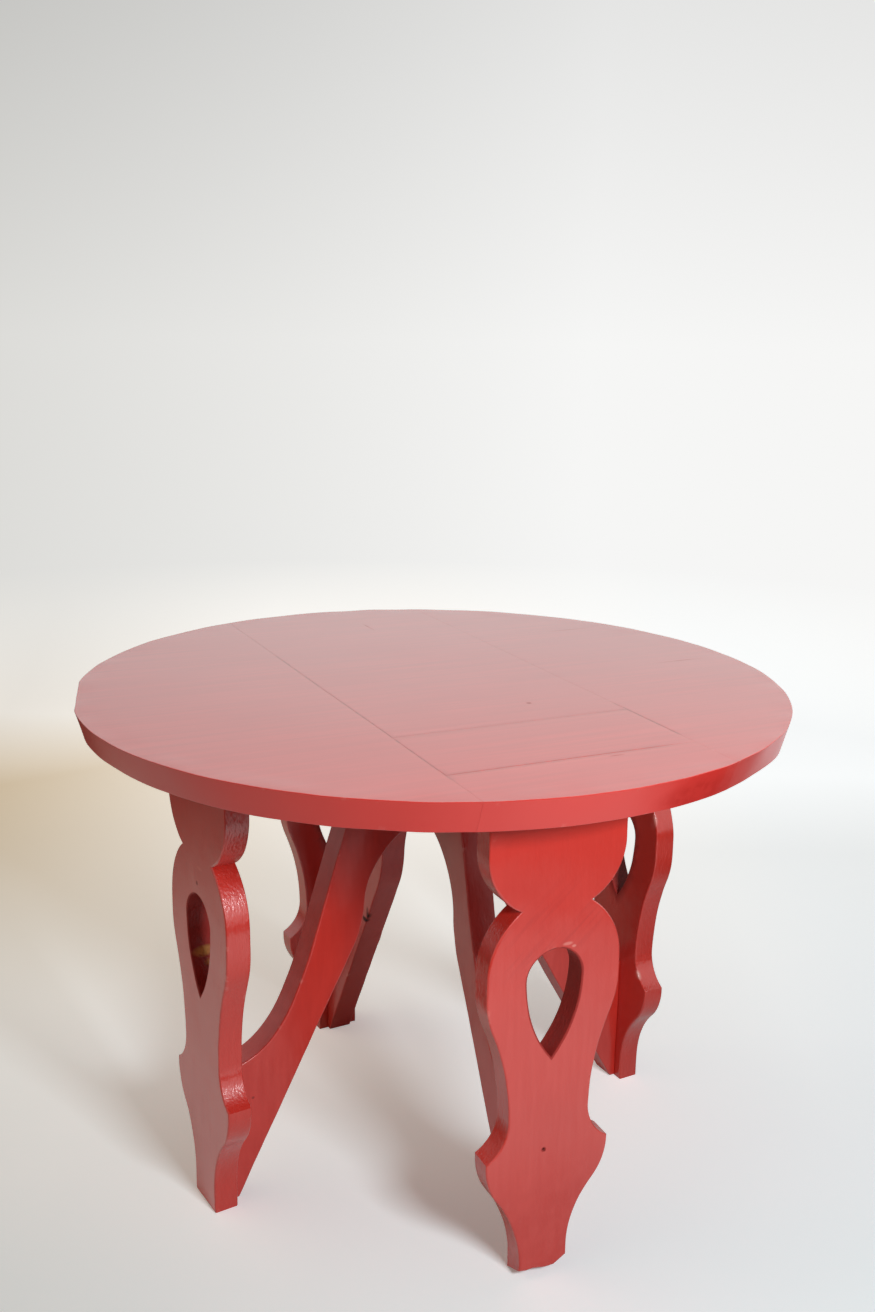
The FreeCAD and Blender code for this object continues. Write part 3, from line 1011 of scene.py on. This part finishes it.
def top_seam_grime_and_shade(loop, edge, inset):
    """Grime and painted shade by a top board's edge: most at open seams, and broad at cross seams,
    where it is painted shade.
    """
    x, y = edge_middle(loop, edge)
    if at_rim((x, y)):
        return 0.0
    along = min(abs(x - left_seam), abs(x - right_seam)) < on_seam
    spread = long_seam_spread if along else cross_seam_spread
    return seam_grime_and_shade * seam_opening(x, y) * max(0.0, 1 - inset / spread)


def top_dip(loop, edge, inset):
    """How far a top board's face sinks beside a seam: the strip's near edge has curled up."""
    x, y = edge_middle(loop, edge)
    if at_rim((x, y)):
        return 0.0
    nearness = max(0.0, 1 - inset / top_shoulders[-1]) ** 2
    curled = abs(y - front_seam) < on_seam and loop[:, 1].mean() > front_seam
    return (-strip_curl if curled else seam_sink) * seam_opening(x, y) * nearness


def top_room(loop, edge):
    """Room at a top board's corners: less along the rim than along a seam."""
    return rim_corner_room if at_rim(loop[edge]) else seam_corner_room


def top_lean(loop, edge):
    """How far a top board's wall leans in: the rim is undercut, the seams are square."""
    x, y = edge_middle(loop, edge)
    if not at_rim((x, y)):
        return 0.0
    undercut = rim_undercut
    for azimuth, width, loss in steep_rims:
        aside = degrees(atan2(y, x)) - azimuth
        aside = abs((aside + 180) % 360 - 180)
        undercut -= loss * fade(aside, width, steep_core * width)
    return undercut


beyond = 2 * top_radius
top_spans = {
    "top_left_board": (-beyond, left_seam, -beyond, beyond),
    "top_right_board": (right_seam, beyond, -beyond, beyond),
    "top_centre_board": (left_seam, right_seam, strip_seam, beyond),
    "top_front_board": (left_seam, right_seam, -beyond, front_seam),
    "top_front_strip": (left_seam, right_seam, front_seam, strip_seam),
}
for node, span in top_spans.items():
    top_board = board(
        f"painted_{node}", [top_outline(*span)], top_thickness, top_place, top_arris, top_lean,
        shoulders=top_shoulders, dip=top_dip, room=top_room, dirt_and_shade=top_seam_grime_and_shade,
    )
    dress(top_board, node, top_paint)


# Legs, braces and hub post


def leg_arris(loop, edge):
    """Ease of the edges of a leg board or a brace, uneven from hand work."""
    x, y = loop[edge]
    if np.ptp(loop[:, 0]) <= 2 * screw_hole_radius:
        return screw_hole_ease
    return leg_ease + leg_ease_change * noise.noise(Vector((x / leg_ease_run, y / leg_ease_run, 0)))


def leg_hollow_shade(loop, edge, inset):
    """Painted shade on the walls of a leg board's piercing: duller, darker paint where shade falls in
    the hollow.
    """
    pierced = np.ptp(loop[:, 0]) <= 2 * teardrop_half_width
    return teardrop_shade if inset == 0.0 and pierced else 0.0


def make_leg(name, azimuth, reach):
    """Leg board of one leg."""
    away, across_way = outward(azimuth)

    def place(across, height, depth):
        if name == "front":
            height *= 1 - fade(height, wear_top, wear_top / 2) * depth / leg_board_thickness
        point = (away * (reach - depth) + across_way * across + UP * height) * MM
        offset = hand_worked(point)
        offset.z *= min(1.0, height / steady_foot)
        return point + offset

    outlines = [leg_outline(), teardrop_outline()]
    if name == "front":
        outlines = [front_leg_outline(), teardrop_outline(), screw_hole()]
    piece = board(f"painted_{name}_leg", outlines, leg_board_thickness, place, leg_arris, dirt_and_shade=leg_hollow_shade)
    return dress(piece, f"{name}_leg_board", leg_paint)


def make_brace(name, azimuth, reach, bend_reach):
    """Brace behind one leg."""
    away, across_way = outward(azimuth)

    def place(along, height, depth):
        point = (away * along + across_way * (depth - brace_thickness / 2) + UP * height) * MM
        return point + hand_worked(point)

    outline = brace_outline(reach - leg_board_thickness, bend_reach)
    piece = board(f"painted_{name}_brace", [outline], brace_thickness, place, leg_arris)
    return dress(piece, f"{name}_brace", brace_paint)


def make_hub():
    """Square post under the middle of the top, which the braces meet."""
    low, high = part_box("hub_post")
    corners = ((low.x, low.y), (high.x, low.y), (high.x, high.y), (low.x, high.y))
    outline = dense([(x / MM, y / MM) for x, y in corners])
    length = (high.z - low.z) / MM - hub_trim

    def place(x, y, depth):
        point = Vector((x, y, high.z / MM - depth)) * MM
        return point + hand_worked(point)

    piece = board("painted_hub_post", [outline], length, place, hub_ease)
    return dress(piece, "hub_post", under_paint)


legs_and_braces = []
for name, (azimuth, reach, bend_reach) in leg_places.items():
    legs_and_braces.append(make_leg(name, azimuth, reach))
    legs_and_braces.append(make_brace(name, azimuth, reach, bend_reach))
make_hub()


# Pieces that keep their solids

for node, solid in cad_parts.items():
    if solid.hide_render:
        continue
    finish = under_paint
    if node.endswith("screws"):
        finish = steel
    if node.endswith("dowels"):
        finish = bare_wood
    solid.data.materials.clear()
    solid.data.materials.append(finish)
    if finish is under_paint:
        eased = solid.modifiers.new("eased_arrises", "BEVEL")
        eased.width = under_ease * MM
        eased.segments = 2
        eased.limit_method = "ANGLE"


# Camera and studio

view_turn = radians(view_azimuth)
VIEW_TO_FRAME = Matrix.Rotation(view_turn, 4, "Z")


def in_view(x, y, z):
    """Point of the studio, with the camera looking along +Y, in the frame."""
    return VIEW_TO_FRAME @ Vector((x, y, z))


def add_camera():
    """Camera at the photograph's place."""
    yaw, pitch, roll = (radians(angle) for angle in camera_angles)
    level = Matrix.Rotation(-yaw, 4, "Z") @ Matrix.Rotation(pi / 2 - pitch, 4, "X")
    data = bpy.data.cameras.new("camera")
    data.sensor_width = camera_sensor
    data.lens = camera_sensor * focal_pixels / picture_height
    camera = add_object("camera", data)
    place = VIEW_TO_FRAME @ Matrix.Translation(camera_place)
    camera.matrix_world = place @ level @ Matrix.Rotation(roll, 4, "Z")
    scene.camera = camera


def add_lamp(name, place, target, width, height, power, colour):
    """Oblong soft lamp aimed at a point."""
    data = bpy.data.lights.new(name, "AREA")
    data.shape = "RECTANGLE"
    data.size = width
    data.size_y = height
    data.energy = power
    data.color = colour
    lamp = add_object(name, data)
    lamp.location = in_view(*place)
    lamp.rotation_mode = "QUATERNION"
    lamp.rotation_quaternion = (in_view(*target) - lamp.location).to_track_quat("-Z", "Y")
    lamp.visible_camera = False
    return lamp


def floor_shader(tree, coords, turned, to_camera, to_gloss):
    """Pale floor that keeps shadows, and glows to the camera and in the paint's gloss."""
    x, y, _ = parts_of(turned)
    apart = length_of(coords)

    # What lies outside the main view, and the part of it that the lamp lights strongly
    beside = larger(ramp(x, 1.3, 2.2), ramp(x, -1.6, -2.3))
    around = larger(ramp(y, -0.9, -1.8), beside)
    by_lamp = spot(turned, (800.0, -1450.0, 0.0), (1200.0,) * 3)
    under_lamp = times(ramp(y, -0.6, -1.1), by_lamp)

    # Colour: to the camera, in reflections, and as it sends light back
    specks = stretched_noise(coords, 3.0)
    shown = mixed(specks, srgb(243, 248, 249), srgb(248, 253, 254))
    # Painted shade: out of view, the floor is shown darker where the lamp lights it most
    shown = scaled(shown, between(under_lamp, 1.0, 0.6))
    reflected = mixed(ramp(apart, 1.1, 2.0), srgb(250, 249, 247), srgb(110, 109, 107))
    dim_right = spot(turned, (1120.0, 0.0, 0.0), (480.0,) * 3)
    reflected = mixed(dim_right, reflected, srgb(70, 68, 66))
    colour = mixed(to_camera, srgb(202, 200, 198), shown)
    colour = mixed(to_gloss, colour, reflected)

    # Colour of the glow: warm at the far left, where it paints the warm shadow that the top casts on
    # the floor, and cool elsewhere
    cool_right = ramp(x, -1.2, -0.2)
    cool_near = ramp(y, 1.3, 0.2)
    cool_far = ramp(y, 1.6, 2.3)
    coolness = larger(larger(cool_right, cool_near), cool_far)
    cool = mixed(ramp(x, 0.0, 0.9), srgb(253, 249, 244), srgb(244, 247, 249))
    cool = mixed(ramp(y, -0.15, -0.4), cool, srgb(236, 244, 243))
    glow_colour = mixed(coolness, srgb(205, 182, 150), cool)
    glow_colour = mixed(around, glow_colour, srgb(240, 241, 241))

    # Glow that the camera sees: it rises towards the backdrop, and fills the floor out of view
    near_right = times(ramp(x, 0.1, 0.7, 0.35), ramp(y, 1.2, 0.3))
    shown_glow = times(ramp(y, -0.8, 1.8, 0.86), added(near_right, 1.0))
    # Less glow to the left: painted shade, deepest where the top's painted shadow lies
    shown_glow = times(shown_glow, remap(x, -1.4, -0.6, 0.7, 1.0))
    around_glow = times(around, between(by_lamp, 0.72, 0.2))
    shown_glow = larger(shown_glow, around_glow)

    # Glow that the paint reflects: at the right, near the front leg and by the left leg
    right_glow = times(ramp(x, 0.8, 1.2, 0.9), ramp(y, 0.6, 0.95))
    near_glow = times(spot(turned, (650.0, -720.0, 0.0), (650.0,) * 3), 0.35)
    left_glow = times(ramp(x, -0.2, -0.6, 0.12), remap(apart, 1.2, 1.7, 1.0, 0.0))
    mirrored_glow = added(right_glow, added(near_glow, left_glow))
    shown_glow = times(to_camera, shown_glow)
    mirrored_glow = times(to_gloss, mirrored_glow)
    return add_node(tree, "BsdfPrincipled", {
        "Base Color": colour, "Roughness": 0.6, "Specular IOR Level": 0.0,
        "Emission Color": glow_colour, "Emission Strength": added(shown_glow, mirrored_glow),
    })


def wall_shader(tree, turned, to_camera, to_gloss):
    """Backdrop: pale to the camera, bright in the paint's gloss, and warm light from the left."""
    x, y, z = parts_of(turned)
    # To the camera the backdrop is painted darker to the left and higher up: painted shade
    sideways = ramp(x, -2.2, 0.6)
    shown = mixed(sideways, srgb(214, 213, 209), srgb(246, 246, 245))
    dimming = times(ramp(z, 1.2, 2.9), between(sideways, -0.34, -0.2))
    shown = scaled(shown, added(dimming, 1.0))

    # How far a place lies towards each wall, as a square so that the walls part softly
    wall_reach = studio_reach + studio_sweep
    walls = []
    for axis, reach in ((y, wall_reach), (y, -wall_reach), (x, wall_reach), (x, -wall_reach)):
        towards = ramp(axis, 0.0, reach)
        walls.append(times(towards, towards))
    back, front, right, left = walls
    back_shine = times(back, remap(z, 0.3, 1.4, 0.3, 1.12))
    right_shine = times(right, 1.3)
    front_shine = times(front, 0.7)
    left_shine = times(times(left, left), 0.8)
    shine = added(added(back_shine, right_shine), added(front_shine, left_shine))
    reflected = scaled(srgb(255, 254, 252)[:3], shine)
    fill = scaled(srgb(224, 208, 184)[:3], times(left, 1.25))
    colour = mixed(to_gloss, fill, reflected)
    colour = mixed(to_camera, colour, shown)
    return add_node(tree, "Emission", {"Color": colour, "Strength": 1.0})


def studio_material():
    """Floor that turns into the backdrop as it rises, clear when seen from outside."""
    material, tree, coords = blank_material("studio")
    material.cycles.emission_sampling = "NONE"
    turned = add_node(tree, "Mapping", {"Vector": coords, "Rotation": (0, 0, -view_turn)})
    to_camera = add_node(tree, "LightPath", output="Is Camera Ray")
    to_gloss = add_node(tree, "LightPath", output="Is Glossy Ray")
    inner = add_node(tree, "MixShader", {
        "Fac": ramp(parts_of(turned)[2], 0.0, 0.35),
        1: floor_shader(tree, coords, turned, to_camera, to_gloss),
        2: wall_shader(tree, turned, to_camera, to_gloss),
    })
    outside = add_node(tree, "NewGeometry", output="Backfacing")
    clear = add_node(tree, "BsdfTransparent")
    return finished(material, add_node(tree, "MixShader", {"Fac": outside, 1: inner, 2: clear}))


def add_studio():
    """Round floor that sweeps up into a backdrop on all sides."""
    profile = [(reach, 0.0) for reach in studio_rings]
    for place in range(sweep_steps + 1):
        turn = pi / 2 * place / sweep_steps
        profile.append((studio_reach + studio_sweep * sin(turn), studio_sweep * (1 - cos(turn))))
    profile.append((studio_reach + studio_sweep, studio_height))
    turns = full_turn(studio_sides)
    vertices = [(r * cos(t), r * sin(t), z) for r, z in profile for t in turns]
    studio = add_mesh("studio", vertices, ring_quads(0, len(profile), studio_sides))
    studio.data.materials.append(studio_material())


def set_world():
    """Dim even light from above the studio, which the camera sees as a pale sky."""
    world = bpy.data.worlds.new("world")
    world.use_nodes = True
    tree = world.node_tree
    background = tree.nodes["Background"]
    to_camera = add_node(tree, "LightPath", output="Is Camera Ray")
    colour = mixed(to_camera, srgb(255, 246, 233), srgb(255, 255, 254))
    tree.links.new(colour, background.inputs["Color"])
    tree.links.new(between(to_camera, 0.12, 0.8), background.inputs["Strength"])
    scene.world = world


def add_lamps():
    """The key lamp, and its glint, which shows only as a reflection in the legs and braces."""
    key = add_lamp("key", *key_lamp)
    key.visible_glossy = False
    glint = add_lamp("glint", *key_lamp)
    glint.visible_diffuse = False
    mirroring = bpy.data.collections.new("mirroring")
    for piece in legs_and_braces:
        mirroring.objects.link(piece)
    glint.light_linking.receiver_collection = mirroring


add_camera()
add_studio()
set_world()
add_lamps()

bpy.context.scene.view_settings.view_transform = "Standard"

bpy.context.view_layer.update()
